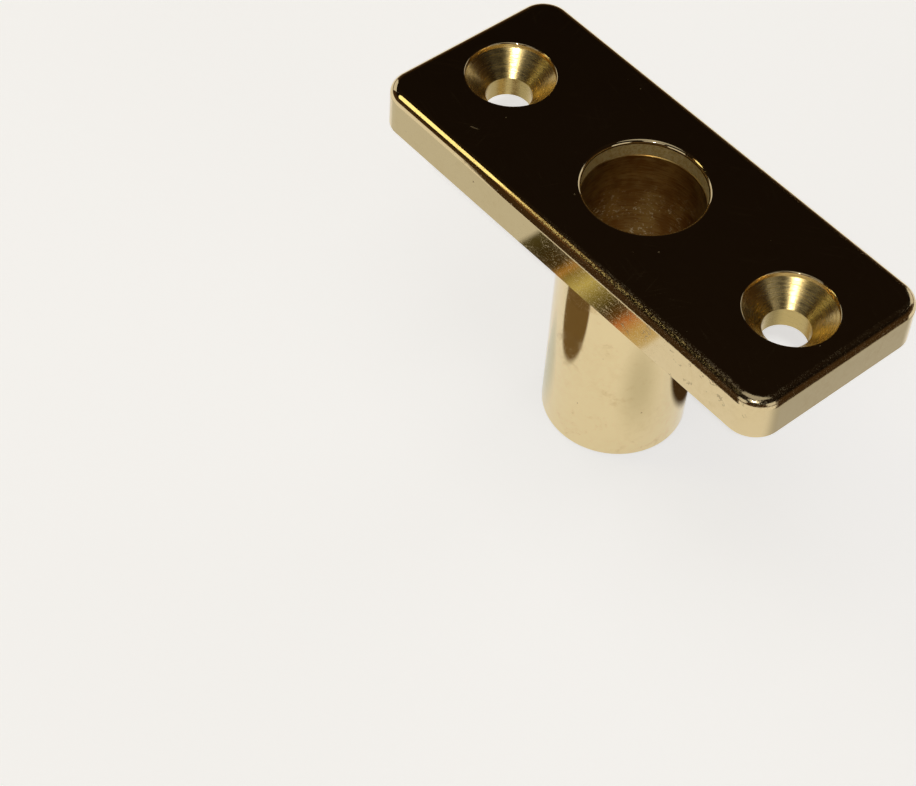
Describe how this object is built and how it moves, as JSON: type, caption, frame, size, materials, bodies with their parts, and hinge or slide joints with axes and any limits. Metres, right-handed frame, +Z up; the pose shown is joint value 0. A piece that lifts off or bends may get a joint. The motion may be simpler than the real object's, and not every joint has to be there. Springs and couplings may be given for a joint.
{
  "type": "stanchion base",
  "caption": "Top-mount brass socket that holds a stanchion's foot: a flat rectangular deck plate with countersunk screw holes, over a round barrel that sits in a drilled hole.",
  "frame": {"origin": "on the socket's axis, level with the plate's underside, which is the face that seats on the deck", "axes": "+Z up along the socket's axis, out of its mouth; +X along the plate's length; +Y across the plate"},
  "size_m": [0.0564, 0.0236, 0.0338],
  "materials": {
    "polished_plate": "mirror polished, fine wheel marks, satin machined holes",
    "polished_barrel": "mirror polished outside, dull reamed bore",
    "braze_alloy": "satin silver-braze"
  },
  "bodies": {
    "root": {"deck_plate": "polished_plate", "barrel": "polished_barrel", "braze_ring": "braze_alloy"}
  },
  "joints": []
}
